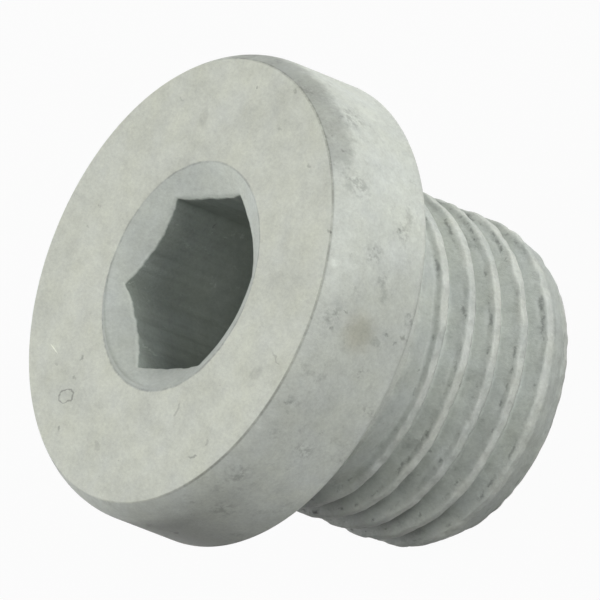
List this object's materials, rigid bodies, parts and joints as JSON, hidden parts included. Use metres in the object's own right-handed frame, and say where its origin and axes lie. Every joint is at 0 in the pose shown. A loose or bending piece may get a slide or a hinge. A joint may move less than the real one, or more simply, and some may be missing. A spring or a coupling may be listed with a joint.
{
  "type": "hex socket plug",
  "caption": "Hex socket screw plug: a flat round head with a countersunk hex socket, on a short right-hand threaded shank with a plain neck and a chamfered end.",
  "frame": {"origin": "centre of the flat end face of the thread, which the plug stands on", "axes": "+Z along the plug's axis from the thread towards the head, so the socket faces up; two corners of the hex socket lie on the X axis"},
  "size_m": [0.014, 0.014, 0.011],
  "materials": {
    "plug_body": "matt zinc plating with a light grey mottle"
  },
  "bodies": {
    "root": {"plug_body": "plug_body"}
  },
  "joints": []
}
